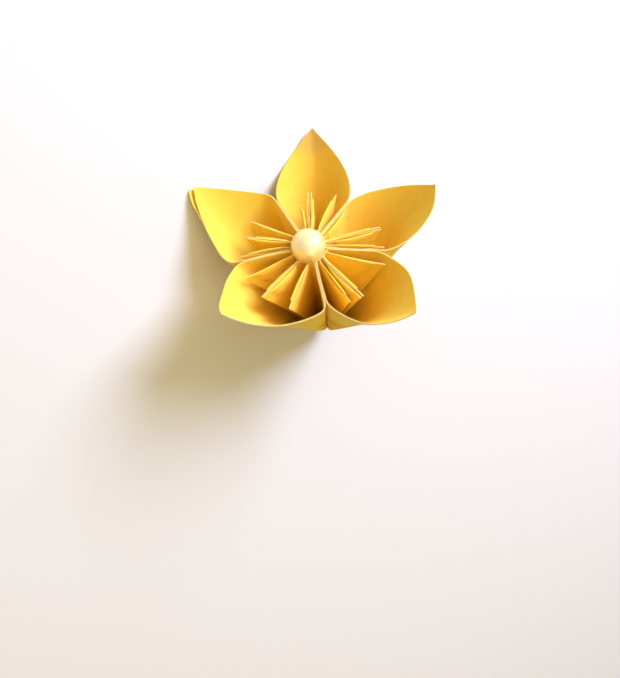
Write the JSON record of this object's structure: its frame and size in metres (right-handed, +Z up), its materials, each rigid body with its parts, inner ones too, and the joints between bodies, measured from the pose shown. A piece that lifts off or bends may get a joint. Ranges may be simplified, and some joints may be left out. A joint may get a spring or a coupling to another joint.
{
  "type": "folded paper flower",
  "caption": "Small folded paper flower with cupped petals, standing fins inside each petal and a pearl bead glued in the middle. It lies on its side.",
  "frame": {"origin": "middle of the bounding box, at the height of the table that the flower lies on", "axes": "+Z up. The flower lies on the backs of petal_top and petal_left, and its open face looks towards -Y and up, about 33 degrees above the table. +X is across the flower and is its longest extent"},
  "size_m": [0.072, 0.059, 0.0585],
  "materials": {
    "yellow_paper": "matte",
    "pearl": "pearly gloss"
  },
  "bodies": {
    "root": {"petal_top": "yellow_paper", "petal_left": "yellow_paper", "petal_lower_left": "yellow_paper", "petal_lower_right": "yellow_paper", "petal_right": "yellow_paper", "pearl_bead": "pearl"}
  },
  "joints": []
}
